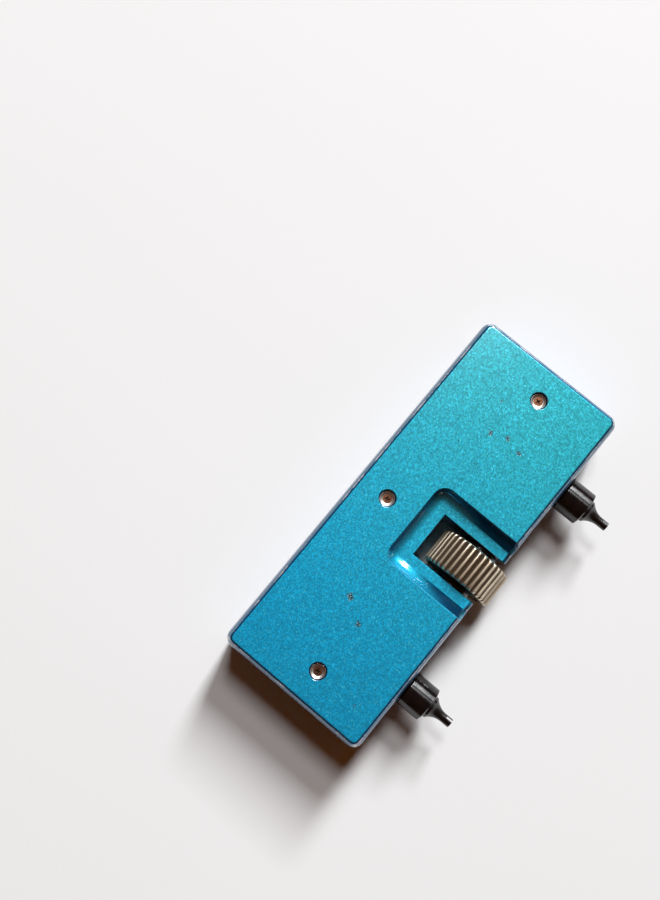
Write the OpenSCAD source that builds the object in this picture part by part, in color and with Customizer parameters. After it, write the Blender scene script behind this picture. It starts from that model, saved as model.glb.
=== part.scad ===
// Adjustable watch case back opener.
// Two die-cast body halves, screwed together, hold a lead screw with a knurled
// thumb wheel at its middle. One half of the screw has a right-hand thread and
// the other a left-hand one, so turning the wheel moves two carriages, each with
// a fork-tip bit, apart or together.
// Millimetres. +X runs along the body, -Y points to the bits and +Z is up.
// The origin is under the middle of the whole tool, on its resting face.

/* [Body] */
// Length of the body
body_l = 62; // [60:0.5:64]
// Depth of the body, from its front face to its rear face
body_w = 25; // [24:0.5:27]
// Thickness of the closed body
body_t = 12; // [12:0.1:12.4]
// Rounding of the edges round the two flat faces
edge_r = 0.85; // [0.5:0.05:1.1]
// Rounding of the four upright corners
corner_r = 1.6; // [1.2:0.1:2.4]
// Thickness of the flat skins and outer walls
wall = 1.6; // [1.4:0.1:1.8]

/* [Wheel recess] */
// Width of the finger recess at the flat face
recess_w = 13.8; // [13:0.1:14.6]
// Depth of the finger recess, from the front face
recess_d = 14.6; // [14:0.1:15]
// How far the recess floor lies below the flat face
recess_depth = 2; // [1.8:0.1:2.2]
// Fillet where the recess sides meet its floor
recess_fillet = 1.7; // [1.2:0.1:1.7]
// Rounding of the two inner corners of the recess
recess_corner = 1.9; // [1.8:0.1:2.4]
// Width of the window that the wheel turns in
window_w = 7.5; // [7.3:0.1:8]
// Depth of the window, from the front face
window_d = 11.4; // [11:0.1:12]

/* [Wheel and screw] */
// Diameter of the thumb wheel over its ridges
wheel_d = 11.8; // [11.4:0.1:11.8]
// Width of the thumb wheel
wheel_w = 5.5; // [5:0.1:5.6]
// Number of ridges round the wheel
wheel_ridges = 36; // [30:1:40]
// Distance from the front face to the axis of the wheel and screw
axis_set = 4; // [3.8:0.1:4.2]
// Outside diameter of the lead screw's thread
screw_d = 4; // [3.6:0.1:4]
// Diameter of the screw's plain middle, which the wheel is pressed on
seat_d = 4.6; // [4.4:0.1:4.8]

/* [Carriages and bits] */
// Distance from the middle of the body to the left bit's axis
left_bit_x = 19.25; // [12:0.05:22]
// Distance from the middle of the body to the right bit's axis
right_bit_x = 18.4; // [12:0.05:22]
// Diameter of the bits
bit_d = 5.5; // [5:0.1:5.6]
// How far the bits reach past the front face
bit_reach = 8.6; // [8:0.1:9.5]
// Width of each fork tip
tip_w = 1.4; // [1.2:0.1:1.8]

/* [Hidden] */
$fn = 96;

// Small overshoot that keeps cuts clean
over = 1;
// Radial clearance of the running fits
run_gap = 0.05;
// Clearance on each side of a sliding carriage
slide_gap = 0.1;

// Places along Y and Z
front_y = (bit_reach - body_w) / 2;
rear_y = front_y + body_w;
mid_z = body_t / 2;
axis_y = front_y + axis_set;

// Window, webs and the channels that the carriages slide in
web_t = 1.5;
web_x = window_w / 2 + web_t;
block_l = 6.6;
block_h = 5.8;
block_rear = 8.1;
tongue_w = 4.8;
bit_min_x = 9.1;
bit_max_x = 24.5;
channel_room = 0.2;
channel_x0 = web_x;
channel_x1 = bit_max_x + block_l / 2 + channel_room;
channel_rear = block_rear + slide_gap;
channel_h = block_h + 2 * slide_gap;
slot_room = 0.3;
slot_x0 = bit_min_x - tongue_w / 2 - slot_room;
slot_x1 = bit_max_x + tongue_w / 2 + slot_room;
slot_h = 5;
tongue_h = slot_h - 2 * slide_gap;

// Slices that shape the recess fillet
recess_steps = 7;

// Hollows behind the channels
rib_t = 1.2;
recess_skin = 1.3;
hollow_y0 = front_y + channel_rear + rib_t;
hollow_side_x = recess_w / 2 + recess_skin;
hollow_mid_y = front_y + recess_d + wall;

// Lead screw: a plain middle, a threaded length each side and turned-down ends
journal_r = 1.5;
journal_l = 1.6;
end_play = 0.2;
seat_x = channel_x0 - end_play;
thread_end_x = channel_x1 - end_play;
screw_end_x = channel_x1 + journal_l;
screw_chamfer = 0.4;
journal_chamfer = 0.2;

// Thrust washers between the wheel and the window's sides
washer_r = 3;
washer_gap = run_gap;

// Knurl of the thumb wheel
knurl_cut_r = 0.3;
knurl_depth = 0.26;
rim_chamfer = 0.35;

// Bits, measured forward from the front face
collar_gap = 0.35;
bit_body_end = 4.35;
bit_chamfer = 0.25;
neck_start_r = 1.75;
neck_start = 4.7;
neck_arc_r = 3;
tip_l = 1.3;
stud_r = 1.5;
stud_l = 1.7;
slit_w = 0.25;
slit_l = 1.05;
slit_shift = 0.38;

// Case screws: one near each end and one behind the wheel
end_screw_inset = 5.4;
end_screw_set = 11.4;
rear_screw_inset = 5.5;
end_screw_x = body_l / 2 - end_screw_inset;
end_screw_y = front_y + end_screw_set;
rear_screw_y = rear_y - rear_screw_inset;
head_r = 1.15;
head_h = 0.95;
head_sink = 0.5;
counterbore_r = 1.3;
shank_r = 1;
thread_end_z = 2.4;
boss_r = 2.5;
cross_l = 1.5;
cross_w = 0.36;
cross_d = 0.5;

paint = [0.11, 0.62, 0.74];
nickel = [0.74, 0.70, 0.62];
black_steel = [0.07, 0.07, 0.08];
plain_steel = [0.6, 0.6, 0.62];
copper_tone = [0.62, 0.40, 0.28];

// Flat rectangle with round corners, centred
module rounded_rect(l, w, r) {
    square([l - 2 * r, w], center = true);
    square([l, w - 2 * r], center = true);
    for (sx = [-1, 1], sy = [-1, 1])
        translate([sx * (l / 2 - r), sy * (w / 2 - r)]) circle(r);
}

// The closed body as one solid with all its outside edges rounded
module body_block() {
    translate([0, front_y + body_w / 2, mid_z]) intersection() {
        translate([0, 0, -mid_z]) linear_extrude(body_t)
            rounded_rect(body_l, body_w, corner_r);
        rotate([90, 0, 0]) translate([0, 0, -body_w / 2]) linear_extrude(body_w)
            rounded_rect(body_l, body_t, edge_r);
        rotate([90, 0, 90]) translate([0, 0, -body_l / 2]) linear_extrude(body_l)
            rounded_rect(body_w, body_t, edge_r);
    }
}

// A box given by its low corner and its high corner
module box(low, high) {
    translate(low) cube(high - low);
}

// How far the filleted recess side has come in at a given depth below the face
function recess_inset(depth) =
    depth <= recess_depth - recess_fillet ? 0
    : recess_fillet - sqrt(pow(recess_fillet, 2) - pow(depth - recess_depth + recess_fillet, 2));

// One finger recess with filleted sides, open to the front
module recess_cut() {
    slice = 0.01;
    straight = recess_depth - recess_fillet;
    hull() for (step = [0 : recess_steps]) {
        depth = step == 0 ? -slice : straight + recess_fillet * sin(90 * (step - 1) / (recess_steps - 1));
        inset = recess_inset(depth);
        long = recess_d + over - inset;
        translate([0, front_y - over + long / 2, body_t - depth])
            linear_extrude(slice)
                rounded_rect(recess_w - 2 * inset, long, recess_corner - inset, $fn = 32);
    }
}

module round_bar(x0, x1, r) {
    translate([x0, axis_y, mid_z]) rotate([0, 90, 0]) cylinder(r = r, h = x1 - x0);
}

// Everything cut away round the wheel, the screw and the carriages
module mechanism_cuts() {
    box([-window_w / 2, front_y - over, -over],
        [window_w / 2, front_y + window_d, body_t + over]);
    recess_cut();
    translate([0, 0, body_t]) mirror([0, 0, 1]) recess_cut();
    round_bar(-channel_x0 - over, channel_x0 + over, seat_d / 2 + run_gap);
    round_bar(-screw_end_x - end_play, screw_end_x + end_play, journal_r + run_gap);
    for (s = [0, 1]) mirror([s, 0, 0]) {
        box([channel_x0, front_y + wall, mid_z - channel_h / 2],
            [channel_x1, front_y + channel_rear, mid_z + channel_h / 2]);
        box([slot_x0, front_y - over, mid_z - slot_h / 2],
            [slot_x1, front_y + wall + over, mid_z + slot_h / 2]);
    }
}

// Upright column at each case screw
module at_case_screws() {
    for (p = [[-end_screw_x, end_screw_y], [end_screw_x, end_screw_y], [0, rear_screw_y]])
        translate([p[0], p[1], 0]) children();
}

// The hollows behind the channels, with a boss left round each case screw
module hollows() {
    difference() {
        union() {
            for (s = [0, 1]) mirror([s, 0, 0])
                box([hollow_side_x, hollow_y0, wall],
                    [body_l / 2 - wall, rear_y - wall, body_t - wall]);
            box([-hollow_side_x - over, hollow_mid_y, wall],
                [hollow_side_x + over, rear_y - wall, body_t - wall]);
        }
        at_case_screws() cylinder(r = boss_r, h = body_t);
    }
}

module upper_shell() {
    color(paint) difference() {
        intersection() {
            body_block();
            box([-body_l, -body_l, mid_z], [body_l, body_l, body_t + over]);
        }
        mechanism_cuts();
        hollows();
        at_case_screws() {
            translate([0, 0, body_t - head_sink - head_h])
                cylinder(r = counterbore_r, h = head_sink + head_h + over);
            cylinder(r = shank_r + run_gap, h = body_t);
        }
    }
}

module lower_shell() {
    color(paint) difference() {
        intersection() {
            body_block();
            box([-body_l, -body_l, -over], [body_l, body_l, mid_z]);
        }
        mechanism_cuts();
        hollows();
        at_case_screws() translate([0, 0, thread_end_z]) cylinder(r = shank_r, h = body_t);
    }
}

// Cheese-head machine screw with a cross recess, sunk below the face
module case_screw(x, y) {
    head_top = body_t - head_sink;
    color(copper_tone) translate([x, y, 0]) difference() {
        union() {
            translate([0, 0, head_top - head_h]) cylinder(r = head_r, h = head_h);
            translate([0, 0, thread_end_z]) cylinder(r = shank_r, h = head_top - head_h - thread_end_z);
        }
        for (a = [0, 90]) translate([0, 0, head_top]) rotate([0, 0, a])
            cube([cross_l, cross_w, 2 * cross_d], center = true);
    }
}

// One rod: plain middle, threads at their outside diameter, turned-down ends
module lead_screw() {
    r = screw_d / 2;
    half_outline = [
        [seat_d / 2, 0], [seat_d / 2, seat_x - screw_chamfer], [seat_d / 2 - screw_chamfer, seat_x],
        [r, seat_x], [r, thread_end_x - screw_chamfer], [r - screw_chamfer, thread_end_x],
        [journal_r, thread_end_x], [journal_r, screw_end_x - journal_chamfer],
        [journal_r - journal_chamfer, screw_end_x],
        [0, screw_end_x], [0, 0]
    ];
    color(plain_steel) translate([0, axis_y, mid_z])
        for (s = [0, 1]) mirror([s, 0, 0])
            rotate([0, 90, 0]) rotate_extrude() polygon(half_outline);
}

// Knurled wheel, pressed on the middle of the lead screw
module thumb_wheel() {
    r = wheel_d / 2;
    color(nickel) translate([-wheel_w / 2, axis_y, mid_z]) rotate([0, 90, 0]) intersection() {
        linear_extrude(wheel_w) difference() {
            circle(r);
            circle(seat_d / 2);
            for (i = [0 : wheel_ridges - 1]) rotate(i * 360 / wheel_ridges)
                translate([r + knurl_cut_r - knurl_depth, 0]) circle(knurl_cut_r, $fn = 24);
        }
        rotate_extrude() polygon([
            [0, 0], [r - rim_chamfer, 0], [r, rim_chamfer],
            [r, wheel_w - rim_chamfer], [r - rim_chamfer, wheel_w], [0, wheel_w]
        ]);
    }
}

module thrust_washer(side) {
    x0 = side < 0 ? -window_w / 2 + washer_gap : wheel_w / 2;
    thick = (window_w - wheel_w) / 2 - washer_gap;
    color(plain_steel) difference() {
        round_bar(x0, x0 + thick, washer_r);
        round_bar(x0 - over, x0 + thick + over, seat_d / 2 + run_gap);
    }
}

// Sliding nut: a block on the lead screw with a tongue out through the front slot
module carriage(x) {
    color(black_steel) translate([x, front_y, mid_z]) difference() {
        union() {
            box([-block_l / 2, wall + slide_gap, -block_h / 2], [block_l / 2, block_rear, block_h / 2]);
            box([-tongue_w / 2, -collar_gap, -tongue_h / 2], [tongue_w / 2, block_rear / 2, tongue_h / 2]);
        }
        translate([-block_l, axis_set, 0]) rotate([0, 90, 0])
            cylinder(r = screw_d / 2 + run_gap, h = 2 * block_l);
        rotate([-90, 0, 0]) translate([0, 0, -over]) cylinder(r = stud_r, h = axis_set + over);
    }
}

// Turned bit with a threaded stud, a concave neck and an off-centre slit in its tip
module bit(x) {
    neck_end = bit_reach - tip_l;
    color(black_steel) translate([x, front_y, mid_z]) difference() {
        rotate([90, 0, 0]) rotate_extrude() {
            polygon([
                [0, -stud_l], [stud_r, -stud_l],
                [stud_r, collar_gap], [bit_d / 2 - bit_chamfer, collar_gap],
                [bit_d / 2, collar_gap + bit_chamfer], [bit_d / 2, bit_body_end],
                [neck_start_r, neck_start], [tip_w / 2, neck_start],
                [tip_w / 2, bit_reach], [0, bit_reach]
            ]);
            difference() {
                square([neck_start_r, neck_end]);
                translate([tip_w / 2 + neck_arc_r, neck_end]) circle(neck_arc_r);
            }
        }
        translate([slit_shift - slit_w / 2, -bit_reach - over, -bit_d])
            cube([slit_w, slit_l + over, 2 * bit_d]);
    }
}

upper_shell();
lower_shell();
case_screw(-end_screw_x, end_screw_y);  // case_screw_left
case_screw(end_screw_x, end_screw_y);  // case_screw_right
case_screw(0, rear_screw_y);  // case_screw_rear
lead_screw();
thumb_wheel();
thrust_washer(-1);  // thrust_washer_left
thrust_washer(1);  // thrust_washer_right
carriage(-left_bit_x);  // carriage_left
carriage(right_bit_x);  // carriage_right
bit(-left_bit_x);  // bit_left
bit(right_bit_x);  // bit_right
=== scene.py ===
"""Finished look of an adjustable watch case back opener, round its packed CAD frame.

Two painted die-cast halves hold a lead screw with a ridged thumb wheel, and two
sliding carriages carry black fork-tip bits. Shapes are worked in millimetres and
brought to metres as each piece is finished.
"""

import math

import bmesh
import bpy
from bpy.props import FloatProperty, FloatVectorProperty, IntProperty, PointerProperty
from mathutils import Matrix, Quaternion, Vector


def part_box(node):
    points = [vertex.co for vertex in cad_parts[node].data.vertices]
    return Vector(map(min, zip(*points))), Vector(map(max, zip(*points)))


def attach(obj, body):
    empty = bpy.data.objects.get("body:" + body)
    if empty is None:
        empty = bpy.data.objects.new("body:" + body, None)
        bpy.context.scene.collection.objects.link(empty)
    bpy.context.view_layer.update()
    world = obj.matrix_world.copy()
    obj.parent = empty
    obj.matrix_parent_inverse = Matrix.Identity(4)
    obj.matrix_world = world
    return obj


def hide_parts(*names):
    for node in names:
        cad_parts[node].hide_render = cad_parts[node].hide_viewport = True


bl_info = {
    "name": "Case Back Opener",
    "version": (1, 0, 0),
    "blender": (4, 5, 0),
    "location": "3D View > Sidebar > Case Opener",
    "description": "Builds the finished pieces of a watch case back opener",
    "category": "Object",
}

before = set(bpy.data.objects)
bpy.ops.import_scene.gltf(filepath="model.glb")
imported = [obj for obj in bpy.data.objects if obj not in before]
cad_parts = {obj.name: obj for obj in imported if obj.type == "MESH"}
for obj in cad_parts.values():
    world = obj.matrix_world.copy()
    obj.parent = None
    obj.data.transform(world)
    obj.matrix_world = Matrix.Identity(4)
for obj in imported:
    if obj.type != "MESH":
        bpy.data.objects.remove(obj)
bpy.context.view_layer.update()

PER_METRE = 1000.0  # millimetres in a metre


# Measures taken from the frame, in millimetres


def cad_box(*nodes):
    """Low and high corner round some CAD nodes."""
    corners = [c * PER_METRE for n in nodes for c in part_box(n)]
    return (Vector([min(c[i] for c in corners) for i in range(3)]),
            Vector([max(c[i] for c in corners) for i in range(3)]))


def middle(node):
    """Middle of a CAD node."""
    low, high = cad_box(node)
    return (low + high) / 2


body_low, body_high = cad_box("upper_shell", "lower_shell")
front, rear, top = body_low.y, body_high.y, body_high.z
half_length = body_high.x
seam_z = cad_box("upper_shell")[0].z
axis = middle("thumb_wheel")
case_screws = ("case_screw_left", "case_screw_right", "case_screw_rear")


# Settings


def size(name, value, text, low=0.0):
    """A length that is typed here in millimetres and kept in metres."""
    return FloatProperty(name=name, description=text, default=value / PER_METRE,
                         min=low / PER_METRE, unit="LENGTH", subtype="DISTANCE", precision=5)


def share(name, value, text):
    return FloatProperty(name=name, description=text, default=value, min=0.0, max=1.0,
                         subtype="FACTOR")


def tint(name, value, text):
    return FloatVectorProperty(name=name, description=text, default=value, size=3,
                               min=0.0, max=1.0, subtype="COLOR")


def mm(value):
    """A stored length, back in millimetres."""
    return value * PER_METRE


class ShellSettings(bpy.types.PropertyGroup):
    """Sizes and paint of the two body halves"""

    edge_round: size("Edge rounding", 1.05, "How far in the edges round the flat faces roll")
    edge_drop: size("Edge drop", 2.3, "How far down the edges round the flat faces roll")
    corner_round: size("Corner rounding", 1.6, "Rounding of the four upright corners")
    wall: size("Wall", 1.6, "Thickness of the outer walls")
    recess_width: size("Recess width", 13.8, "Width of the finger recess")
    recess_length: size("Recess length", 14.6, "Length of the recess from the front face")
    recess_depth: size("Recess depth", 2.0, "Depth of the recess below the flat face")
    recess_fillet: size("Recess fillet", 1.7, "Fillet along the foot of the recess sides")
    recess_corner: size("Recess corner", 1.9, "Rounding of the recess's inner corners")
    window_width: size("Window width", 7.5, "Width of the window round the wheel")
    window_length: size("Window length", 11.4, "Length of the window from the front face")
    rim_round: size("Rim softening", 0.16, "Paint-softened rim of the recess and the holes")
    lip_round: size("Lip rounding", 0.8, "Rounding where the recess runs into the front face")
    seam_round: size("Seam softening", 0.12, "Softened edge along the joint of the halves")
    hole_radius: size("Screw hole radius", 1.25, "Radius of the counterbores")
    flake: size("Flake", 0.18, "Size of the metal flakes in the paint")
    # Painted sheen: the blue at the left end fades into the brighter teal at the right end, where the
    # window light's gloss is strongest.
    paint_teal_sheen: tint("Teal paint", (0.024, 0.405, 0.470), "Paint at the right end")
    paint_blue: tint("Blue paint", (0.003, 0.435, 0.730), "Paint at the left end")
    # Painted shade: a darker blue for the upright walls that face away from the window light.
    paint_wall_shade: tint("Paint on the walls", (0.003, 0.105, 0.250), "Bluer paint on the upright walls")
    # Painted reflection: the near-black line where the edge rounding starts, standing for the dark room
    # mirrored there.
    paint_rim_dark_reflection: tint("Paint on the rim", (0.001, 0.050, 0.180), "Dye on the rims, where few flakes lie")
    wear: share("Wear", 0.5, "How far the paint is rubbed off the edges")


class WheelSettings(bpy.types.PropertyGroup):
    """Sizes and metal of the thumb wheel"""

    ridges: IntProperty(name="Ridges", description="Number of ridges round the wheel",
                        default=36, min=24, max=48)
    groove: size("Groove depth", 0.4, "Depth of the grooves between the ridges")
    rim_chamfer: size("Rim chamfer", 0.35, "Chamfer at both ends of the ridges")
    nickel: tint("Nickel", (1.0, 0.88, 0.68), "Plating on the crests")
    # Painted shade: dark brown for the grooves and the wheel's sides.
    groove_shade: tint("Groove shade", (0.050, 0.028, 0.012), "Old oil in the grooves")


class ScrewSettings(bpy.types.PropertyGroup):
    """Sizes and metal of the lead screw and the case screws"""

    lead_pitch: size("Lead screw pitch", 0.7, "Pitch of the lead screw's two threads")
    lead_root: size("Lead screw root radius", 1.55, "Radius at the bottom of the thread")
    case_pitch: size("Case screw pitch", 0.4, "Pitch of the case screws' thread")
    steel: tint("Steel", (0.52, 0.52, 0.53), "Bare turned steel")
    copper: tint("Worn plating", (0.26, 0.11, 0.06), "Coppery flat of the screw heads")


class BitSettings(bpy.types.PropertyGroup):
    """Sizes and finish of the carriages and the bits"""

    slit_width: size("Slit width", 0.25, "Width of the slit in each fork tip")
    slit_length: size("Slit length", 1.05, "Length of the slit in each fork tip")
    slit_shift: size("Slit offset", 0.38, "How far the slit lies from the bit's axis")
    black: tint("Black oxide", (0.004, 0.004, 0.005), "Oxide finish of bits and carriages")


class StageSettings(bpy.types.PropertyGroup):
    """Floor, light and camera"""

    floor: tint("Floor", (0.88, 0.88, 0.88), "Pale paper under the tool")
    window_power: FloatProperty(name="Window power", default=74.0, min=0.0, subtype="POWER",
                                description="Strength of the low window light")
    roof_power: FloatProperty(name="Roof window power", default=18.0, min=0.0, subtype="POWER",
                              description="Strength of the weaker, higher light")
    fill: FloatProperty(name="Fill", description="Strength of the light from the room",
                        default=0.060, min=0.0)
    lens: FloatProperty(name="Lens", description="Focal length of the camera", default=42.35,
                        min=20.0, unit="CAMERA")
    place: FloatVectorProperty(name="Camera place", description="Where the camera stands",
                               default=(-0.01705, 0.00732, 0.16644), size=3, unit="LENGTH",
                               subtype="XYZ")
    turn: FloatVectorProperty(name="Camera turn", size=3, unit="ROTATION", subtype="NONE",
                              description="Azimuth, height and roll of the view",
                              default=(math.radians(-48.8), math.radians(81.6),
                                       math.radians(1.47)))


SETTINGS = {
    "opener_shell": ShellSettings,
    "opener_wheel": WheelSettings,
    "opener_screws": ScrewSettings,
    "opener_bits": BitSettings,
    "opener_stage": StageSettings,
}


# Shaping


def add_box(shape, low, high):
    """A box between two corners."""
    low, high = Vector(low), Vector(high)
    made = bmesh.ops.create_cube(shape, size=1.0)["verts"]
    bmesh.ops.scale(shape, vec=high - low, verts=made)
    bmesh.ops.translate(shape, vec=(low + high) / 2, verts=made)
    return made


def add_bar(shape, start, end, radius, steps=48):
    """A round bar between two points."""
    start, end = Vector(start), Vector(end)
    along = end - start
    made = bmesh.ops.create_cone(shape, cap_ends=True, segments=steps, radius1=radius,
                                 radius2=radius, depth=along.length)["verts"]
    turn = Vector((0, 0, 1)).rotation_difference(along).to_matrix()
    bmesh.ops.rotate(shape, cent=(0, 0, 0), matrix=turn, verts=made)
    bmesh.ops.translate(shape, vec=(start + end) / 2, verts=made)
    return made


def round_off(shape, edges, radius, steps):
    """Rounds some edges of a shape."""
    return bmesh.ops.bevel(shape, geom=edges, offset=radius, offset_type="OFFSET",
                           segments=steps, profile=0.5, affect="EDGES", material=-1,
                           clamp_overlap=False)


def boxed(low, high):
    shape = bmesh.new()
    add_box(shape, low, high)
    return shape


def barred(start, end, radius, steps=48):
    shape = bmesh.new()
    add_bar(shape, start, end, radius, steps)
    return shape


def as_object(shape, name="blank"):
    mesh = bpy.data.meshes.new(name)
    shape.to_mesh(mesh)
    shape.free()
    thing = bpy.data.objects.new(name, mesh)
    bpy.context.scene.collection.objects.link(thing)
    return thing


def from_object(thing, extra=()):
    """The finished mesh of an object as a shape; the object is thrown away."""
    bpy.context.view_layer.update()
    shaped = thing.evaluated_get(bpy.context.evaluated_depsgraph_get())
    shape = bmesh.new()
    shape.from_mesh(shaped.to_mesh())
    shaped.to_mesh_clear()
    for old in (thing, *extra):
        mesh = old.data
        bpy.data.objects.remove(old)
        bpy.data.meshes.remove(mesh)
    return shape


def carve(shape, cutters, how="DIFFERENCE"):
    """Cuts closed cutters, one after another, out of a closed shape."""
    blank = as_object(shape)
    tools = [as_object(cutter, "cutter") for cutter in cutters]
    for tool in tools:
        cut = blank.modifiers.new("cut", "BOOLEAN")
        cut.solver, cut.operation, cut.object = "EXACT", how, tool
    shape = from_object(blank, tools)
    bmesh.ops.remove_doubles(shape, verts=shape.verts, dist=0.002)
    bmesh.ops.dissolve_degenerate(shape, edges=shape.edges, dist=0.002)
    return shape


def soften(shape, rounding, steps=3):
    """Rounds each sharp edge by what rounding(middle, edge) gives, in millimetres."""
    weights = shape.edges.layers.float.new("bevel_weight_edge")
    for edge in shape.edges:
        if len(edge.link_faces) == 2 and edge.calc_face_angle(0.0) > math.radians(28):
            edge[weights] = rounding((edge.verts[0].co + edge.verts[1].co) / 2, edge)
    thing = as_object(shape)
    bevel = thing.modifiers.new("soften", "BEVEL")
    bevel.limit_method, bevel.width, bevel.segments = "WEIGHT", 1.0, steps
    bevel.use_clamp_overlap, bevel.miter_outer = False, "MITER_SHARP"
    return from_object(thing)


def spin_profile(shape, points, steps=64):
    """A turned solid about Z from (radius, height) points that start and end on the axis."""
    verts = [shape.verts.new((r, 0, z)) for r, z in points]
    edges = [shape.edges.new(pair) for pair in zip(verts, verts[1:])]
    bmesh.ops.spin(shape, geom=verts + edges, cent=(0, 0, 0), axis=(0, 0, 1), dvec=(0, 0, 0),
                   angle=math.tau, steps=steps, use_merge=True)
    bmesh.ops.remove_doubles(shape, verts=shape.verts, dist=0.0005)
    bmesh.ops.recalc_face_normals(shape, faces=shape.faces)


def threaded(length, pitch, crest, root, hand=1, steps=28):
    """A threaded rod about Z from height 0 up, closed at both ends; hand -1 is left-handed."""
    shape = bmesh.new()
    outline = [(root, 0.0), (crest, 0.36), (crest, 0.48), (root, 0.86), (root, 1.0)]
    verts = [shape.verts.new((r, 0, (share_up - 1.5) * pitch)) for r, share_up in outline]
    edges = [shape.edges.new(pair) for pair in zip(verts, verts[1:])]
    turns = math.ceil(length / pitch) + 2
    bmesh.ops.spin(shape, geom=verts + edges, cent=(0, 0, 0), axis=(0, 0, hand),
                   dvec=(0, 0, pitch / steps), angle=math.tau * turns, steps=steps * turns,
                   use_merge=False)
    bmesh.ops.remove_doubles(shape, verts=shape.verts, dist=0.004)
    for height, side in ((0.0, -1), (length, 1)):
        bmesh.ops.bisect_plane(shape, geom=[*shape.verts, *shape.edges, *shape.faces],
                               plane_co=(0, 0, height), plane_no=(0, 0, side), clear_outer=True)
    bmesh.ops.holes_fill(shape, edges=[e for e in shape.edges if e.is_boundary], sides=0)
    bmesh.ops.recalc_face_normals(shape, faces=shape.faces)
    return shape


def join(shape, other):
    """Adds one shape to another."""
    mesh = bpy.data.meshes.new("joined")
    other.to_mesh(mesh)
    other.free()
    shape.from_mesh(mesh)
    bpy.data.meshes.remove(mesh)


def mark_exposure(shape):
    """Stores how exposed each point is: 1 along outward edges, 0 on flats and inside corners."""
    layer = shape.verts.layers.float.new("wear")
    for vert in shape.verts:
        tilt = [1 - max(abs(c) for c in face.normal) for face in vert.link_faces]
        bend = sum(e.calc_face_angle_signed(0.0) for e in vert.link_edges if len(e.link_faces) == 2)
        vert[layer] = min(1.0, min(tilt, default=0) / 0.25) if bend > 0 else 0.0


def finish_piece(shape, name, node, body, material, smooth=35):
    """Turns a shape into a piece that stands for a CAD node and rides on its body."""
    bmesh.ops.scale(shape, vec=Vector((1, 1, 1)) / PER_METRE, verts=shape.verts)
    for face in shape.faces:
        face.smooth = True
    for edge in shape.edges:
        if len(edge.link_faces) == 2 and edge.calc_face_angle(0.0) > math.radians(smooth):
            edge.smooth = False
    piece = as_object(shape, name)
    even = piece.modifiers.new("even shading", "WEIGHTED_NORMAL")
    even.keep_sharp, even.weight = True, 60
    piece.data.materials.clear()
    piece.data.materials.append(material)
    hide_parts(node)
    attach(piece, body)
    return piece


# Finishes


def new_material(name):
    material = bpy.data.materials.new(name)
    material.use_nodes = True
    nodes = material.node_tree.nodes
    nodes.clear()
    shader = nodes.new("ShaderNodeBsdfPrincipled")
    shader.location = (300, 0)
    out = nodes.new("ShaderNodeOutputMaterial")
    out.location = (600, 0)
    material.node_tree.links.new(shader.outputs[0], out.inputs[0])
    return material, shader


def add(tree, kind, at=(0, 0), inputs=None, **settings):
    """A node with its settings; an input is a value or another node's output."""
    node = tree.nodes.new(kind)
    node.location = at
    for name, value in settings.items():
        setattr(node, name, value)
    for name, value in (inputs or {}).items():
        if isinstance(value, bpy.types.NodeSocket):
            tree.links.new(value, node.inputs[name])
        else:
            node.inputs[name].default_value = value
    return node


def places(tree):
    return add(tree, "ShaderNodeTexCoord", (-1400, 0)).outputs["Object"]


def math_node(tree, operation, *values, clamp=False, at=(0, 0)):
    return add(tree, "ShaderNodeMath", at, dict(enumerate(values)), operation=operation,
               use_clamp=clamp).outputs[0]


def ramp(tree, value, low, high, to=(0.0, 1.0), at=(0, 0)):
    """Fades from one value to another as the input goes from low to high."""
    return add(tree, "ShaderNodeMapRange", at,
               {"Value": value, "From Min": low, "From Max": high, "To Min": to[0],
                "To Max": to[1]}, interpolation_type="SMOOTHSTEP").outputs["Result"]


def blend(tree, factor, a, b, how="MIX", at=(0, 0)):
    """Mixes two colours."""
    node = tree.nodes.new("ShaderNodeMix")
    node.data_type, node.blend_type, node.location = "RGBA", how, at
    for socket, value in ((node.inputs[0], factor), (node.inputs[6], a), (node.inputs[7], b)):
        if isinstance(value, bpy.types.NodeSocket):
            tree.links.new(value, socket)
        else:
            socket.default_value = (*value, 1.0) if hasattr(value, "__len__") else value
    return node.outputs[2]


def noise(tree, vector, scale, detail=3.0, rough=0.55, at=(0, 0)):
    return add(tree, "ShaderNodeTexNoise", at,
               {"Vector": vector, "Scale": scale, "Detail": detail,
                "Roughness": rough}).outputs[0]


def new_group(name, inputs, outputs):
    """A shader node group with named inputs and outputs."""
    group = bpy.data.node_groups.new(name, "ShaderNodeTree")
    for kind, sockets in (("INPUT", inputs), ("OUTPUT", outputs)):
        for label, what, *value in sockets:
            socket = group.interface.new_socket(label, in_out=kind, socket_type="NodeSocket" + what)
            if value:
                socket.default_value = value[0]
    return (group, add(group, "NodeGroupInput", (-900, 0)).outputs,
            add(group, "NodeGroupOutput", (700, 0)).inputs)


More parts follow.
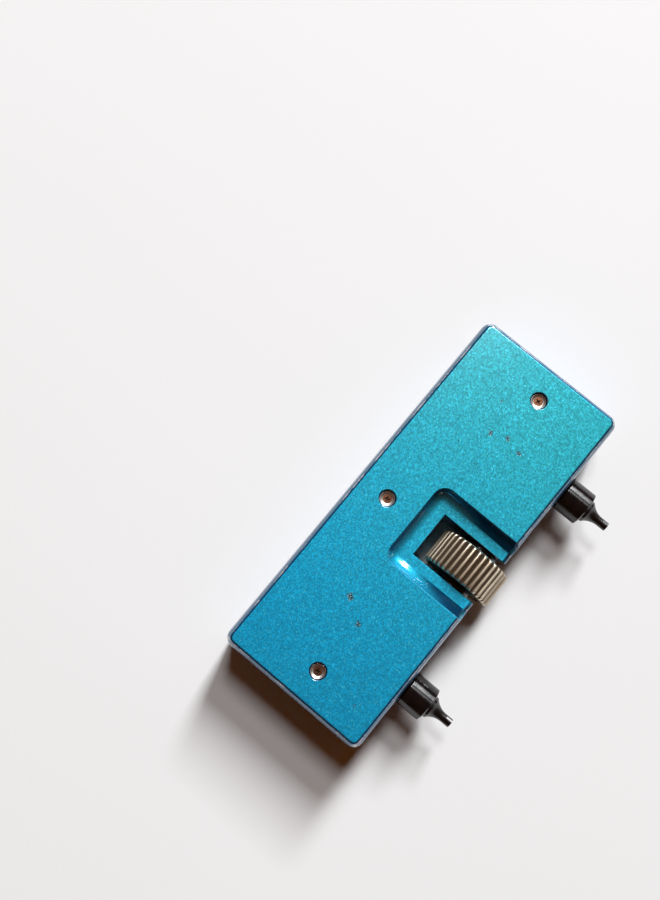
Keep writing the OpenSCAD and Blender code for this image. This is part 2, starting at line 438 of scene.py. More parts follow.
def flake_group():
    """Metal flakes in paint: their brightness, the way each one leans, and rare painted glints that give
    single flakes a brighter colour.
    """
    group, given, gives = new_group(
        "paint flakes",
        [("Place", "Vector"), ("Flakes per metre", "Float", 6000.0), ("Lean", "Float", 0.2)],
        [("Brightness", "Float"), ("Glint", "Float"), ("Normal", "Vector")])
    cells = add(group, "ShaderNodeTexVoronoi", (-600, 100),
                {"Vector": given["Place"], "Scale": given["Flakes per metre"]})
    parts = add(group, "ShaderNodeSeparateColor", (-400, 100), {0: cells.outputs["Color"]})
    away = add(group, "ShaderNodeVectorMath", (-400, -150),
               {0: cells.outputs["Color"], 1: (0.5, 0.5, 0.5)}, operation="SUBTRACT")
    lean = add(group, "ShaderNodeVectorMath", (-200, -150), {0: away.outputs[0]},
               operation="SCALE")
    group.links.new(given["Lean"], lean.inputs["Scale"])
    surface = add(group, "ShaderNodeNewGeometry", (-200, -350)).outputs["Normal"]
    total = add(group, "ShaderNodeVectorMath", (0, -150), {0: surface, 1: lean.outputs[0]},
                operation="ADD")
    unit = add(group, "ShaderNodeVectorMath", (200, -150), {0: total.outputs[0]},
               operation="NORMALIZE")
    clouds = noise(group, given["Place"], 1400.0, at=(-600, 350))
    mixed = math_node(group, "MULTIPLY", parts.outputs[0], ramp(group, clouds, 0.2, 0.8, (0.7, 1.3)),
                      clamp=True, at=(100, 200))
    group.links.new(mixed, gives["Brightness"])
    group.links.new(ramp(group, parts.outputs[1], 0.93, 1.0, at=(100, 0)), gives["Glint"])
    group.links.new(unit.outputs[0], gives["Normal"])
    return group


def wear_group():
    """Rubbed edges: the stored exposure broken up by two sizes of noise."""
    group, given, gives = new_group(
        "edge wear",
        [("Place", "Vector"), ("Exposure", "Float", 0.0), ("Amount", "Float", 0.5)],
        [("Mask", "Float")])
    broad = noise(group, given["Place"], 260.0, at=(-600, 200))
    fine = noise(group, given["Place"], 2600.0, at=(-600, 0))
    rough = math_node(group, "ADD", math_node(group, "MULTIPLY", broad, 0.7, at=(-400, 200)),
                      math_node(group, "MULTIPLY", fine, 0.3, at=(-400, 0)), at=(-200, 100))
    reach = math_node(group, "MULTIPLY", given["Exposure"], given["Amount"], at=(-200, -150))
    level = math_node(group, "ADD", rough, reach, at=(0, 0))
    group.links.new(ramp(group, level, 0.86, 0.94, at=(300, 0)), gives["Mask"])
    return group


def grain_group():
    """Fine grain for metal: an uneven value and a height for bumps."""
    group, given, gives = new_group(
        "metal grain",
        [("Place", "Vector"), ("Scale", "Float", 1.0), ("Stretch", "Vector", (1.0, 1.0, 1.0))],
        [("Value", "Float"), ("Height", "Float")])
    drawn = add(group, "ShaderNodeVectorMath", (-600, 0), {0: given["Place"], 1: given["Stretch"]},
                operation="MULTIPLY").outputs[0]
    broad = add(group, "ShaderNodeTexNoise", (-300, 150),
                {"Vector": drawn, "Scale": 500.0, "Detail": 4.0})
    fine = add(group, "ShaderNodeTexNoise", (-300, -150), {"Vector": drawn, "Detail": 3.0})
    group.links.new(math_node(group, "MULTIPLY", given["Scale"], 5000.0, at=(-500, -200)),
                    fine.inputs["Scale"])
    group.links.new(broad.outputs[0], gives["Value"])
    group.links.new(fine.outputs[0], gives["Height"])
    return group


def grouped(tree, name, at, inputs):
    """Places one of the shared groups with its own values."""
    makers = {"paint flakes": flake_group, "edge wear": wear_group, "metal grain": grain_group}
    group = bpy.data.node_groups.get(name) or makers[name]()
    node = add(tree, "ShaderNodeGroup", at, node_tree=group)
    for label, value in inputs.items():
        if isinstance(value, bpy.types.NodeSocket):
            tree.links.new(value, node.inputs[label])
        else:
            node.inputs[label].default_value = value
    return node.outputs


def stored(tree, name, at=(-1400, -300)):
    return add(tree, "ShaderNodeAttribute", at, attribute_name=name).outputs["Fac"]


def bump(tree, height, depth, strength=1.0, normal=None, at=(0, -300)):
    """A bump whose full height is the given depth in metres."""
    inputs = {"Height": height, "Distance": depth, "Strength": strength}
    if normal is not None:
        inputs["Normal"] = normal
    return add(tree, "ShaderNodeBump", at, inputs).outputs[0]


def flake_paint(sizes):
    """Blue metallic flake enamel on die-cast metal, rubbed and chipped."""
    material, shader = new_material("flake paint")
    tree = material.node_tree
    place = places(tree)
    flakes = grouped(tree, "paint flakes", (-900, 200),
                     {"Place": place, "Flakes per metre": 1.0 / sizes.flake, "Lean": 0.12})
    # The stored exposure drives both the rubbed edges and the painted dark rim reflection.
    exposed = stored(tree, "wear")
    worn = grouped(tree, "edge wear", (-900, -300),
                   {"Place": place, "Exposure": exposed, "Amount": sizes.wear})
    # Painted sheen: the paint fades from blue at the left end to a brighter teal at the right end, where
    # the window light's gloss is strongest; a random mottle breaks the fade up.
    apart = add(tree, "ShaderNodeSeparateXYZ", (-900, 500), {0: place})
    along = ramp(tree, apart.outputs[0], body_low.x / PER_METRE, body_high.x / PER_METRE,
                 at=(-700, 500))
    mottle = math_node(tree, "SUBTRACT", noise(tree, place, 2000.0, 1.0, at=(-900, 600)), 0.5,
                       at=(-700, 600))
    along = math_node(tree, "ADD", along, math_node(tree, "MULTIPLY", mottle, 0.8, at=(-600, 600)),
                      clamp=True, at=(-500, 500))
    paint = blend(tree, along, tuple(sizes.paint_blue), tuple(sizes.paint_teal_sheen), at=(-300, 500))
    shade = blend(tree, along, [c * 0.84 for c in sizes.paint_blue],
                  [c * 0.84 for c in sizes.paint_teal_sheen], at=(-300, 350))
    base = blend(tree, flakes["Brightness"], shade, paint, at=(-500, 200))
    # Painted highlight: rare flakes get a brighter blue as a glint.
    base = blend(tree, flakes["Glint"], base, (0.05, 0.52, 0.68), at=(-300, 200))
    # Painted shade: upright walls take the darker wall colour, except the walls near the middle that face
    # the window light.
    facing = add(tree, "ShaderNodeSeparateXYZ", (-700, 700),
                 {0: add(tree, "ShaderNodeNewGeometry", (-900, 700)).outputs["Normal"]})
    level = math_node(tree, "ABSOLUTE", facing.outputs[2], at=(-500, 700))
    upright = ramp(tree, level, 0.95, 0.5, at=(-300, 900))
    lit = math_node(tree, "MULTIPLY", ramp(tree, facing.outputs[0], 0.1, 0.5, at=(-300, 1000)),
                    ramp(tree, math_node(tree, "ABSOLUTE", apart.outputs[0]), 0.020, 0.015,
                         at=(-300, 1100)), at=(-200, 1000))
    base = blend(tree, math_node(tree, "SUBTRACT", upright, lit, clamp=True), base,
                 tuple(sizes.paint_wall_shade), at=(-350, 300))
    # Painted reflection: a dark line is drawn where exposed edges begin to roll over, for the dark
    # surroundings that the rounding mirrors.
    rim_reflection_tilt = math_node(tree, "MULTIPLY", ramp(tree, level, 0.985, 0.95, at=(-300, 800)),
                        ramp(tree, level, 0.70, 0.85, at=(-300, 700)), at=(-200, 750))
    rim = math_node(tree, "MULTIPLY", rim_reflection_tilt, ramp(tree, exposed, 0.04, 0.15, at=(-300, 600)),
                    at=(-100, 700))
    base = blend(tree, rim, base, tuple(sizes.paint_rim_dark_reflection), at=(-200, 300))
    chips = chip_mask(tree, place)
    bare = blend(tree, ramp(tree, noise(tree, place, 6000.0, 1.0, at=(-500, -800)), 0.53, 0.60,
                            at=(-300, -800)), (0.004, 0.055, 0.080), (0.34, 0.52, 0.56),
                 at=(-200, -800))
    base = blend(tree, chips, base, bare, at=(-100, 200))
    base = blend(tree, worn["Mask"], base, (0.55, 0.60, 0.65), at=(50, 200))
    lacquer = noise(tree, place, 900.0, 2.0, at=(-500, -500))
    sunk = math_node(tree, "SUBTRACT", lacquer, math_node(tree, "MULTIPLY", chips, 2.0), at=(-300, -500))
    tree.links.new(base, shader.inputs["Base Color"])
    tree.links.new(bump(tree, sunk, 0.00002, 0.5, flakes["Normal"]), shader.inputs["Normal"])
    tree.links.new(ramp(tree, chips, 0.0, 1.0, (0.85, 0.3)), shader.inputs["Metallic"])
    shader.inputs["Specular IOR Level"].default_value = 0.1
    tree.links.new(ramp(tree, flakes["Brightness"], 0.0, 1.0, (0.61, 0.56)),
                   shader.inputs["Roughness"])
    shader.inputs["Coat Weight"].default_value = 1.0
    shader.inputs["Coat Roughness"].default_value = 0.15
    shader.inputs["Coat IOR"].default_value = 1.95
    return material


def chip_mask(tree, place):
    """Small chips knocked out of the paint on the upper face."""
    ragged = add(tree, "ShaderNodeTexNoise", (-1200, -700), {"Vector": place, "Scale": 2500.0})
    moved = add(tree, "ShaderNodeVectorMath", (-1000, -700),
                {0: ragged.outputs["Color"], 1: (0.0012, 0.0012, 0.0), 2: place},
                operation="MULTIPLY_ADD").outputs[0]
    total = None
    for x, y, across in ((17.2, 5.8, 0.50), (18.1, 3.2, 0.50), (17.5, 0.6, 0.40),
                         (-14.5, 6.4, 0.70), (-16.8, 3.0, 0.60), (22.0, 7.4, 0.26),
                         (13.4, 8.6, 0.24), (-26.2, -4.0, 0.28)):
        far = add(tree, "ShaderNodeVectorMath", (-800, -700),
                  {0: moved, 1: (x / PER_METRE + 0.0006, y / PER_METRE + 0.0006, top / PER_METRE)},
                  operation="DISTANCE").outputs["Value"]
        spot = ramp(tree, far, across / PER_METRE, 0.35 * across / PER_METRE, at=(-600, -700))
        total = spot if total is None else math_node(tree, "MAXIMUM", total, spot, at=(-400, -700))
    return total


def plated_nickel(sizes):
    """Bright nickel, darkened in the grooves and on the wheel's sides as painted shade."""
    material, shader = new_material("plated nickel")
    tree = material.node_tree
    place = places(tree)
    grain = grouped(tree, "metal grain", (-900, 0),
                    {"Place": place, "Scale": 1.0, "Stretch": (0.25, 1.0, 1.0)})
    depth = stored(tree, "groove")
    groove_shade_depth = math_node(tree, "ADD", depth,
                     math_node(tree, "MULTIPLY", math_node(tree, "SUBTRACT", grain["Value"], 0.5),
                               0.9), at=(-500, -300))
    mask = ramp(tree, groove_shade_depth, 0.1, 0.7, at=(-300, -300))
    tree.links.new(blend(tree, mask, tuple(sizes.nickel), tuple(sizes.groove_shade)),
                   shader.inputs["Base Color"])
    tree.links.new(ramp(tree, mask, 0.0, 1.0, (1.0, 0.35)), shader.inputs["Metallic"])
    tree.links.new(ramp(tree, grain["Value"], 0.2, 0.8, (0.30, 0.44)), shader.inputs["Roughness"])
    tree.links.new(bump(tree, grain["Height"], 0.000015, 0.6), shader.inputs["Normal"])
    return material


def turned_steel(sizes, name="turned steel", stretch=(6.0, 0.6, 0.6)):
    """Bare steel with fine rings left by the lathe."""
    material, shader = new_material(name)
    tree = material.node_tree
    place = places(tree)
    grain = grouped(tree, "metal grain", (-900, 0),
                    {"Place": place, "Scale": 0.8, "Stretch": stretch})
    shade = ramp(tree, grain["Value"], 0.25, 0.75, at=(-500, 100))
    tree.links.new(blend(tree, shade, [c * 0.7 for c in sizes.steel], tuple(sizes.steel)),
                   shader.inputs["Base Color"])
    shader.inputs["Metallic"].default_value = 1.0
    tree.links.new(ramp(tree, grain["Value"], 0.2, 0.8, (0.22, 0.38)), shader.inputs["Roughness"])
    tree.links.new(bump(tree, grain["Height"], 0.00001, 0.5), shader.inputs["Normal"])
    return material


def case_screw_metal(sizes):
    """Plated screw head: silvery bevel, coppery rubbed flat and painted shade in the cross."""
    material, shader = new_material("case screw plating")
    tree = material.node_tree
    place = places(tree)
    grain = grouped(tree, "metal grain", (-900, 0),
                    {"Place": place, "Scale": 1.5, "Stretch": (1.0, 1.0, 1.0)})
    flat = stored(tree, "flat")
    shade = ramp(tree, grain["Value"], 0.3, 0.7, at=(-600, 200))
    copper = blend(tree, shade, [c * 0.45 for c in sizes.copper], tuple(sizes.copper), at=(-400, 200))
    colour = blend(tree, flat, (0.86, 0.84, 0.80), copper, at=(-200, 200))
    # Painted shade: the cross recess is coloured near black.
    cross_shade = stored(tree, "groove", (-1400, -500))
    tree.links.new(blend(tree, cross_shade, colour, (0.020, 0.010, 0.008)), shader.inputs["Base Color"])
    tree.links.new(ramp(tree, cross_shade, 0.0, 1.0, (1.0, 0.2)), shader.inputs["Metallic"])
    tree.links.new(ramp(tree, flat, 0.0, 1.0, (0.38, 0.5)), shader.inputs["Roughness"])
    tree.links.new(bump(tree, grain["Height"], 0.00002, 0.6), shader.inputs["Normal"])
    return material


def black_oxide(sizes, turned=False):
    """Glossy black oxide over machined steel, faintly brown where it is thin."""
    material, shader = new_material("turned black oxide" if turned else "black oxide")
    tree = material.node_tree
    place = places(tree)
    grain = grouped(tree, "metal grain", (-900, 0),
                    {"Place": place, "Scale": 0.8, "Stretch": (1.0, 2.5, 1.0)})
    worn = grouped(tree, "edge wear", (-900, -300),
                   {"Place": place, "Exposure": stored(tree, "wear"), "Amount": 0.3})
    thin = ramp(tree, grain["Value"], 0.35, 0.75, at=(-500, 100))
    base = blend(tree, thin, tuple(sizes.black), (0.010, 0.006, 0.005), at=(-300, 100))
    tree.links.new(blend(tree, worn["Mask"], base, (0.16, 0.16, 0.17), at=(-100, 100)),
                   shader.inputs["Base Color"])
    shader.inputs["IOR"].default_value = 1.65
    tree.links.new(ramp(tree, grain["Value"], 0.2, 0.8, (0.19, 0.26)), shader.inputs["Roughness"])
    tree.links.new(bump(tree, grain["Height"], 0.000006, 0.3), shader.inputs["Normal"])
    if turned:
        rings = add(tree, "ShaderNodeTangent", (0, -500), direction_type="RADIAL", axis="Y")
        tree.links.new(rings.outputs[0], shader.inputs["Tangent"])
        shader.inputs["Anisotropic"].default_value = 0.9
        shader.inputs["Anisotropic Rotation"].default_value = 0.25
    return material


def pale_paper(sizes):
    """Plain white paper with a very fine tooth."""
    material, shader = new_material("pale paper")
    tree = material.node_tree
    place = places(tree)
    clouds = noise(tree, place, 9.0, 2.0, at=(-600, 100))
    shade = [c * 0.97 for c in sizes.floor]
    tree.links.new(blend(tree, clouds, tuple(sizes.floor), shade), shader.inputs["Base Color"])
    shader.inputs["Roughness"].default_value = 0.85
    tree.links.new(bump(tree, noise(tree, place, 1800.0, 3.0, at=(-600, -300)), 0.00003, 0.25),
                   shader.inputs["Normal"])
    return material


def material_once(name, maker, *given):
    """Makes a material the first time it is asked for."""
    return bpy.data.materials.get(name) or maker(*given)


# Pieces


def body_blank(sizes):
    """The upper half of the closed body; its rim rolls over further down than in."""
    shape = boxed((body_low.x, body_low.y, seam_z), body_high)
    upright = [e for e in shape.edges if abs(e.verts[0].co.z - e.verts[1].co.z) > 1]
    round_off(shape, upright, mm(sizes.corner_round), 10)
    rims = [e for e in shape.edges if all(v.co.z > top - 0.01 for v in e.verts)]
    round_off(shape, rims, mm(sizes.edge_round), 12)
    for vert in shape.verts:
        if vert.co.z > seam_z + 0.01:
            vert.co.z = top - (top - vert.co.z) * sizes.edge_drop / sizes.edge_round
    bmesh.ops.recalc_face_normals(shape, faces=shape.faces)
    return shape


def recess_cutter(sizes):
    """A tub with round corners and a filleted foot, open to the front."""
    half, floor = mm(sizes.recess_width) / 2, top - mm(sizes.recess_depth)
    end = front + mm(sizes.recess_length)
    shape = boxed((-half, front - 4, floor), (half, end, top + 4))
    inner = [e for e in shape.edges if all(abs(v.co.y - end) < 0.01 for v in e.verts)
             and abs(e.verts[0].co.z - e.verts[1].co.z) > 1]
    round_off(shape, inner, mm(sizes.recess_corner), 8)
    foot = [e for e in shape.edges if all(abs(v.co.z - floor) < 0.01 for v in e.verts)
            and not all(v.co.y < front - 3 for v in e.verts)]
    round_off(shape, foot, mm(sizes.recess_fillet), 10)
    # The floor rolls over the front edge: the open end is swept down round the lip
    lip = mm(sizes.lip_round)
    for vert in shape.verts:
        if vert.co.y < front - 3:
            vert.co.y = front + lip
    mouth = [f for f in shape.faces if all(abs(v.co.y - front - lip) < 0.001 for v in f.verts)]
    bmesh.ops.spin(shape, geom=mouth, cent=(0, front + lip, floor - lip), axis=(1, 0, 0),
                   dvec=(0, 0, 0), angle=math.pi / 2, steps=10, use_merge=False)
    bmesh.ops.recalc_face_normals(shape, faces=shape.faces)
    return shape


def hollow_cutters(sizes):
    """The hollows behind the channels, with a boss left round each case screw."""
    wall = mm(sizes.wall)
    back, roof = rear - wall, top - wall
    side_x, side_y = mm(sizes.recess_width) / 2 + 1.3, front + 9.4
    behind = front + mm(sizes.recess_length) + wall
    cutters = [boxed((side * side_x, side_y, 0) if side > 0 else (side * (half_length - wall), side_y, 0),
                     (half_length - wall, back, roof) if side > 0 else (side * side_x, back, roof))
               for side in (-1, 1)]
    cutters.append(boxed((-side_x - 1, behind, 0), (side_x + 1, back, roof)))
    bosses = [barred((*middle(n).xy, -5), (*middle(n).xy, top + 5), 2.5) for n in case_screws]
    return [carve(c, [b.copy() for b in bosses]) for c in cutters]


def shell(sizes, upper):
    """One body half. The lower one is worked upside down and mirrored at the end."""
    reach = cad_box("carriage_right")
    half_window = mm(sizes.window_width) / 2
    wall = mm(sizes.wall)
    cutters = [
        recess_cutter(sizes),
        boxed((-half_window, front - 2, -2), (half_window, front + mm(sizes.window_length), top + 2)),
        barred((-6.25, axis.y, axis.z), (6.25, axis.y, axis.z), 2.35),
        barred((-29.8, axis.y, axis.z), (29.8, axis.y, axis.z), 1.55),
    ]
    for side in (-1, 1):
        for low, high in (((5.25, front + wall, 3), (28.0, front + 8.2, 9)),
                          ((6.4, front - 2, 3.5), (27.2, front + wall + 1, 8.5))):
            xs = sorted((side * low[0], side * high[0]))
            cutters.append(boxed((xs[0], *low[1:]), (xs[1], *high[1:])))
    cutters += hollow_cutters(sizes)
    for name in case_screws:
        x, y = middle(name).xy
        if upper:
            cutters.append(barred((x, y, top - 1.45), (x, y, top + 2), mm(sizes.hole_radius), 48))
            cutters.append(barred((x, y, 0), (x, y, top + 1), 1.05, 32))
        else:
            cutters.append(barred((x, y, 0), (x, y, top - 2.4), 1.0, 32))
    shape = carve(body_blank(sizes), cutters)

    rim, seam = mm(sizes.rim_round), mm(sizes.seam_round)

    def rounding(at, edge):
        near = abs(at.x) < mm(sizes.recess_width) / 2 + 0.3 and at.y < front + mm(sizes.recess_length) + 0.3
        if at.z > top - mm(sizes.recess_depth) - 0.01:
            return rim if near or at.z > top - 0.01 else 0.0
        if at.y < front + 0.01:
            return seam if at.z < seam_z + 0.01 else 0.3 if abs(at.x) < half_window + 0.01 else rim
        outside = (abs(at.x) > half_length - 0.01 or at.y > rear - 0.01)
        return seam if outside and at.z < seam_z + 0.01 else 0.0

    shape = soften(shape, rounding, 4)
    if not upper:
        bmesh.ops.scale(shape, vec=(1, 1, -1), verts=shape.verts)
        bmesh.ops.translate(shape, vec=(0, 0, top), verts=shape.verts)
        bmesh.ops.reverse_faces(shape, faces=shape.faces)
    mark_exposure(shape)
    return shape


class OPENER_OT_shells(bpy.types.Operator):
    """Make the two painted body halves"""

    bl_idname = "opener.shells"
    bl_label = "Body halves"

    def execute(self, context):
        sizes = context.scene.opener_shell
        paint = material_once("flake paint", flake_paint, sizes)
        for name, upper in (("upper_shell", True), ("lower_shell", False)):
            finish_piece(shell(sizes, upper), "painted_" + name, name, "body", paint)
        return {"FINISHED"}


class OPENER_OT_wheel(bpy.types.Operator):
    """Make the ridged thumb wheel"""

    bl_idname = "opener.wheel"
    bl_label = "Thumb wheel"

    def execute(self, context):
        sizes = context.scene.opener_wheel
        low, high = cad_box("thumb_wheel")
        finish_piece(wheel(sizes, high.x - low.x, (high.z - low.z) / 2), "ridged_wheel",
                     "thumb_wheel", "wheel",
                     material_once("plated nickel", plated_nickel, sizes), smooth=50)
        return {"FINISHED"}


def wheel(sizes, width, radius):
    """Rings of points drawn over the bore, the faces and the ridged rim, joined end to end."""
    steps = 12
    groove, chamfer = mm(sizes.groove), mm(sizes.rim_chamfer)
    half, bore = width / 2, 2.3
    # Depth into the groove over one ridge: crest, flank and rounded bottom
    fall = (0.0, 0.03, 0.16, 0.55, 0.86, 0.98, 1.0, 0.98, 0.86, 0.55, 0.16, 0.03)
    rows = [(-half, bore + 0.2), (-half, 3.3), (-half + 0.18, 3.5), (-half + 0.18, 4.7),
            (-half, 4.9), (-half, radius - chamfer - 0.1), (-half + 0.04, radius - chamfer),
            (-half + chamfer * 0.55, radius - chamfer * 0.4), (-half + chamfer, radius - 0.03),
            (-half + chamfer + 0.1, radius)]
    rows = [(-half + 0.2, bore)] + rows + [(-x, r) for x, r in reversed(rows)] + [(half - 0.2, bore)]
    shape = bmesh.new()
    groove_shade_layer = shape.verts.layers.float.new("groove")
    bmesh.ops.create_circle(shape, radius=1.0, segments=steps * sizes.ridges)
    ring = list(shape.verts)
    edges = list(shape.edges)
    first = None
    for number, (x, reach) in enumerate(rows):
        if number:
            made = bmesh.ops.extrude_edge_only(shape, edges=edges)["geom"]
            edges = [g for g in made if isinstance(g, bmesh.types.BMEdge)
                     and all(v in made for v in g.verts)]
            new = [g for g in made if isinstance(g, bmesh.types.BMVert)]
            turn = {round(math.atan2(v.co.y, v.co.z), 4): None for v in new}
            ring = new
        for vert in ring:
            angle = math.atan2(vert.co.z, vert.co.y) if number else math.atan2(vert.co.y, vert.co.x)
            part = round(angle / math.tau * steps * sizes.ridges) % steps
            dip = fall[part]
            outer = radius - groove * dip
            r = min(reach, outer)
            vert.co = (x, r * math.cos(angle), r * math.sin(angle))
            # Painted shade: the groove depth, and a fixed share on the side faces and the bore, darken the
            # nickel.
            vert[groove_shade_layer] = dip if r > outer - 0.01 else 0.55 if r < 5.0 else 0.1
        if first is None:
            first = list(edges)
    bmesh.ops.bridge_loops(shape, edges=first + edges)
    bmesh.ops.translate(shape, vec=axis, verts=shape.verts)
    bmesh.ops.recalc_face_normals(shape, faces=shape.faces)
    return shape


class OPENER_OT_lead_screw(bpy.types.Operator):
    """Make the lead screw with its two opposite threads, and the thrust washers"""

    bl_idname = "opener.lead_screw"
    bl_label = "Lead screw and washers"

    def execute(self, context):
        sizes = context.scene.opener_screws
        steel = material_once("turned steel", turned_steel, sizes)
        blued = material_once("black oxide", black_oxide, context.scene.opener_bits)
        finish_piece(lead_screw(sizes), "threaded_lead_screw", "lead_screw", "wheel",
                     steel)
        for name in ("thrust_washer_left", "thrust_washer_right"):
            low, high = cad_box(name)
            shape = bmesh.new()
            add_bar(shape, (low.x, axis.y, axis.z), (high.x, axis.y, axis.z), 3.0)
            shape = carve(shape, [barred((low.x - 1, axis.y, axis.z), (high.x + 1, axis.y, axis.z), 2.35)])
            shape = soften(shape, lambda at, edge: 0.08, 2)
            finish_piece(shape, "turned_" + name, name, "wheel", blued)
        return {"FINISHED"}


def lead_screw(sizes):
    """Plain seat in the middle, a right-hand and a left-hand thread, and turned-down ends."""
    end = cad_box("lead_screw")[1].x
    shape = bmesh.new()
    spin_profile(shape, [(0, -5.05), (2.1, -5.05), (2.3, -4.85), (2.3, 4.85), (2.1, 5.05), (0, 5.05)])
    for side in (-1, 1):
        rod = threaded(27.6 - 5.0, mm(sizes.lead_pitch), 2.0, mm(sizes.lead_root), side)
        bmesh.ops.translate(rod, vec=(0, 0, 5.0), verts=rod.verts)
        tail = bmesh.new()
        spin_profile(tail, [(0, 26), (1.5, 26), (1.5, end - 0.2), (1.3, end), (0, end)], 40)
        join(rod, tail)
        if side < 0:
            bmesh.ops.rotate(rod, cent=(0, 0, 0), matrix=Matrix.Rotation(math.pi, 3, "X"), verts=rod.verts)
        join(shape, rod)
    bmesh.ops.rotate(shape, cent=(0, 0, 0), matrix=Matrix.Rotation(math.pi / 2, 3, "Y"), verts=shape.verts)
    bmesh.ops.translate(shape, vec=axis, verts=shape.verts)
    return shape


class OPENER_OT_case_screws(bpy.types.Operator):
    """Make the three case screws"""

    bl_idname = "opener.case_screws"
    bl_label = "Case screws"

    def execute(self, context):
        sizes = context.scene.opener_screws
        plating = material_once("case screw plating", case_screw_metal, sizes)
        for number, name in enumerate(case_screws):
            finish_piece(case_screw(sizes, name, 0.35 + 0.8 * number), "cross_" + name, name, "body",
                         plating)
        return {"FINISHED"}


def case_screw(sizes, name, turn):
    """A small pan head with a wide bright bevel, a cross recess and a threaded shank."""
    low, high = cad_box(name)
    head_top, head_foot = high.z, high.z - 0.95
    shape = bmesh.new()
    flat_top = head_top - 0.16
    spin_profile(shape, [(0, head_foot), (1.05, head_foot), (1.15, head_foot + 0.1),
                         (1.15, head_top - 0.05), (1.12, head_top - 0.01), (1.08, head_top),
                         (1.03, head_top - 0.02), (0.95, head_top - 0.07), (0.84, head_top - 0.12),
                         (0.76, flat_top + 0.01), (0.70, flat_top), (0.6, flat_top), (0, flat_top)], 48)
    cross = []
    for angle in (turn, turn + math.pi / 2):
        blade = boxed((-0.55, -0.11, head_top - 0.55), (0.55, 0.11, head_top + 0.4))
        low_ends = [v for v in blade.verts if v.co.z < head_top]
        bmesh.ops.scale(blade, vec=(0.55, 0.8, 1), verts=low_ends)
        bmesh.ops.rotate(blade, cent=(0, 0, 0), matrix=Matrix.Rotation(angle, 3, "Z"), verts=blade.verts)
        cross.append(blade)
    shape = carve(shape, cross)
    flat = shape.verts.layers.float.new("flat")
    groove = shape.verts.layers.float.new("groove")
    for vert in shape.verts:
        vert[flat] = 1.0 if vert.co.xy.length < 0.71 and vert.co.z > flat_top - 0.5 else 0.0
        # Painted shade: the walls and floor of the cross recess are marked to be darkened.
        vert[groove] = 1.0 if head_foot + 0.2 < vert.co.z < flat_top - 0.1 else 0.0
    rod = threaded(head_foot - low.z, mm(sizes.case_pitch), 0.99, 0.78, 1, 20)
    bmesh.ops.translate(rod, vec=(0, 0, low.z), verts=rod.verts)
    join(shape, rod)
    x, y = middle(name).xy
    bmesh.ops.translate(shape, vec=(x, y, 0), verts=shape.verts)
    return shape


class OPENER_OT_carriages(bpy.types.Operator):
    """Make the two carriages that slide on the lead screw"""

    bl_idname = "opener.carriages"
    bl_label = "Carriages"

    def execute(self, context):
        sizes = context.scene.opener_bits
        black = material_once("black oxide", black_oxide, sizes)
        for side in ("left", "right"):
            finish_piece(carriage("carriage_" + side), "machined_carriage_" + side,
                         "carriage_" + side, side + "_carriage", black)
        return {"FINISHED"}


def carriage(name):
    """A block bored for the lead screw, with a tongue that comes out of the front slot."""
    low, high = cad_box(name)
    x = (low.x + high.x) / 2
    shape = boxed((low.x, front + 1.7, low.z), (high.x, high.y, high.z))
    tongue = boxed((x - 2.4, low.y, axis.z - 2.4), (x + 2.4, front + 4, axis.z + 2.4))
    shape = carve(shape, [tongue], "UNION")
    shape = carve(shape, [barred((low.x - 1, axis.y, axis.z), (high.x + 1, axis.y, axis.z), 2.05),
                          barred((x, low.y - 1, axis.z), (x, front + 4, axis.z), 1.5)])
    shape = soften(shape, lambda at, edge: 0.15 if edge.is_convex else 0.0, 3)
    mark_exposure(shape)
    return shape


class OPENER_OT_bits(bpy.types.Operator):
    """Make the two turned fork-tip bits"""

    bl_idname = "opener.bits"
    bl_label = "Fork-tip bits"

    def execute(self, context):
        sizes = context.scene.opener_bits
        black = material_once("turned black oxide", black_oxide, sizes, True)
        for side in ("left", "right"):
            finish_piece(fork_bit(sizes, "bit_" + side), "turned_bit_" + side, "bit_" + side,
                         side + "_carriage", black)
        return {"FINISHED"}


def fork_bit(sizes, name):
    """Stud, barrel, coned shoulder, hollow-ground neck and a slit tip."""
    low, high = cad_box(name)
    reach, radius, tip = front - low.y, (high.z - low.z) / 2, 0.7
    neck_end, hollow = reach - 1.3, 3.0
    profile = [(0, -1.7), (1.35, -1.7), (1.5, -1.55), (1.5, 0.35), (radius - 0.28, 0.35),
               (radius - 0.1, 0.42), (radius, 0.62), (radius, 4.27), (radius - 0.03, 4.35),
               (radius - 0.12, 4.41), (1.8, 4.68)]
    start = math.acos(1 - (1.75 - tip) / hollow)
    for step in range(11):
        angle = start * (1 - step / 10)
        profile.append((tip + hollow * (1 - math.cos(angle)), neck_end - hollow * math.sin(angle)))
    profile += [(tip, reach - 0.06), (tip - 0.06, reach), (0, reach)]
    shape = bmesh.new()
    spin_profile(shape, profile, 72)
    slit, shift = mm(sizes.slit_width), mm(sizes.slit_shift)
    shape = carve(shape, [boxed((shift - slit / 2, -4, reach - mm(sizes.slit_length)),
                                (shift + slit / 2, 4, reach + 1))])
    bmesh.ops.rotate(shape, cent=(0, 0, 0), matrix=Matrix.Rotation(math.pi / 2, 3, "X"), verts=shape.verts)
    bmesh.ops.translate(shape, vec=((low.x + high.x) / 2, front, axis.z), verts=shape.verts)
    mark_exposure(shape)
    return shape


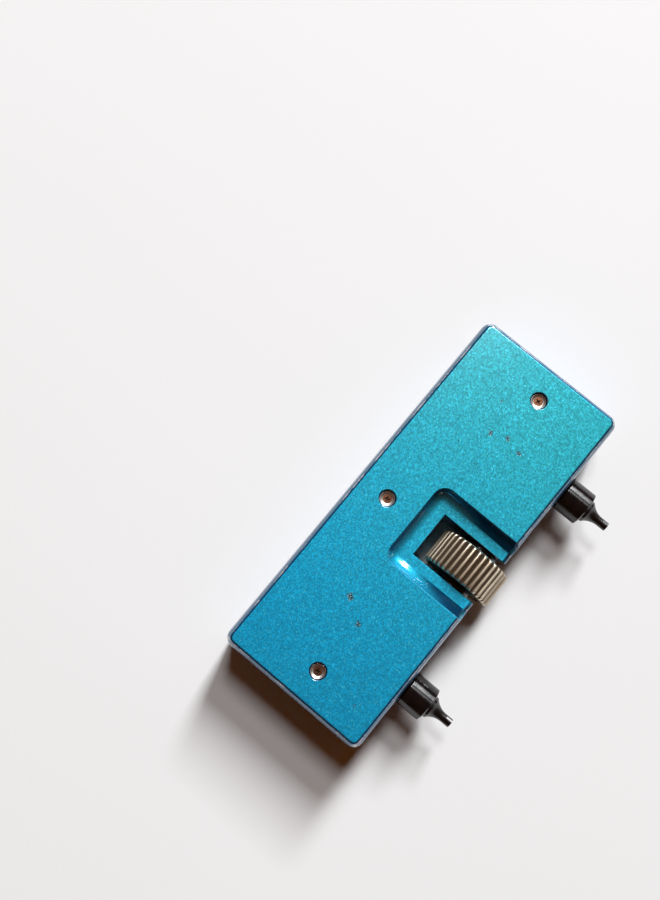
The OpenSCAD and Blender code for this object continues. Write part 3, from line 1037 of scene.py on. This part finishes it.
class OPENER_OT_stage(bpy.types.Operator):
    """Lay the pale floor and set the light and the camera"""

    bl_idname = "opener.stage"
    bl_label = "Floor, light and camera"

    def execute(self, context):
        sizes = context.scene.opener_stage
        scene = context.scene
        shape = bmesh.new()
        bmesh.ops.create_grid(shape, x_segments=1, y_segments=1, size=0.8)
        floor = as_object(shape, "paper_floor")
        floor.data.materials.append(material_once("pale paper", pale_paper, sizes))

        world = bpy.data.worlds.new("dim room")
        world.use_nodes = True
        sky = world.node_tree.nodes["Background"]
        sky.inputs["Color"].default_value = (1.0, 0.30, 0.03, 1.0)
        sky.inputs["Strength"].default_value = sizes.fill
        wall = add(world.node_tree, "ShaderNodeBackground", (0, -150),
                   {"Color": (0.74, 0.75, 0.77, 1.0), "Strength": 1.0})
        seen = add(world.node_tree, "ShaderNodeLightPath", (0, 300)).outputs["Is Camera Ray"]
        mixed = add(world.node_tree, "ShaderNodeMixShader", (200, 0),
                    {0: seen, 1: sky.outputs[0], 2: wall.outputs[0]})
        world.node_tree.links.new(mixed.outputs[0],
                                  world.node_tree.nodes["World Output"].inputs["Surface"])
        scene.world = world

        add_light(scene, "window", (1.90, 0.42, 1.57), (0.40, 1.0), sizes.window_power)
        add_light(scene, "roof_window", (1.05, 0.50, 2.21), (0.45, 0.6), sizes.roof_power)

        lens = bpy.data.cameras.new("camera")
        lens.lens, lens.sensor_width, lens.sensor_fit = sizes.lens, 36.0, "AUTO"
        lens.clip_start, lens.clip_end = 0.001, 10.0
        camera = bpy.data.objects.new("camera", lens)
        scene.collection.objects.link(camera)
        azimuth, height, roll = sizes.turn
        back = Vector((math.sin(azimuth) * math.cos(height), -math.cos(azimuth) * math.cos(height),
                       math.sin(height)))
        camera.rotation_mode = "QUATERNION"
        camera.rotation_quaternion = ((-back).to_track_quat("-Z", "Y")
                                      @ Quaternion((0, 0, 1), -roll))
        camera.location = sizes.place
        scene.camera = camera
        scene.view_settings.view_transform = "Standard"
        return {"FINISHED"}


def add_light(scene, name, place, across, power):
    """A soft rectangular light aimed at the tool."""
    lamp = bpy.data.lights.new(name, "AREA")
    lamp.shape, lamp.size, lamp.size_y = "RECTANGLE", *across
    lamp.energy, lamp.color = power, (0.965, 0.985, 1.0)
    light = bpy.data.objects.new(name, lamp)
    light.location = place
    light.rotation_mode = "QUATERNION"
    light.rotation_quaternion = (-Vector(place)).to_track_quat("-Z", "Y")
    scene.collection.objects.link(light)
    return light


OPERATORS = (OPENER_OT_shells, OPENER_OT_wheel, OPENER_OT_lead_screw, OPENER_OT_case_screws,
             OPENER_OT_carriages, OPENER_OT_bits, OPENER_OT_stage)


class OPENER_PT_panel(bpy.types.Panel):
    """Lists the pieces of the opener and their settings"""

    bl_idname = "OPENER_PT_panel"
    bl_label = "Case Back Opener"
    bl_space_type = "VIEW_3D"
    bl_region_type = "UI"
    bl_category = "Case Opener"

    def draw(self, context):
        for operator in OPERATORS:
            self.layout.operator(operator.bl_idname)
        for name, group in SETTINGS.items():
            box = self.layout.box()
            box.label(text=group.__doc__)
            for key in group.__annotations__:
                box.prop(getattr(context.scene, name), key)


def register():
    for group in SETTINGS.values():
        bpy.utils.register_class(group)
    for name, group in SETTINGS.items():
        setattr(bpy.types.Scene, name, PointerProperty(type=group))
    for operator in OPERATORS:
        bpy.utils.register_class(operator)
    bpy.utils.register_class(OPENER_PT_panel)


def unregister():
    bpy.utils.unregister_class(OPENER_PT_panel)
    for operator in reversed(OPERATORS):
        bpy.utils.unregister_class(operator)
    for name, group in reversed(SETTINGS.items()):
        delattr(bpy.types.Scene, name)
        bpy.utils.unregister_class(group)


def main():
    """Makes every piece in turn."""
    register()
    bpy.ops.opener.shells()
    bpy.ops.opener.wheel()
    bpy.ops.opener.lead_screw()
    bpy.ops.opener.case_screws()
    bpy.ops.opener.carriages()
    bpy.ops.opener.bits()
    bpy.ops.opener.stage()


if __name__ == "__main__":
    main()
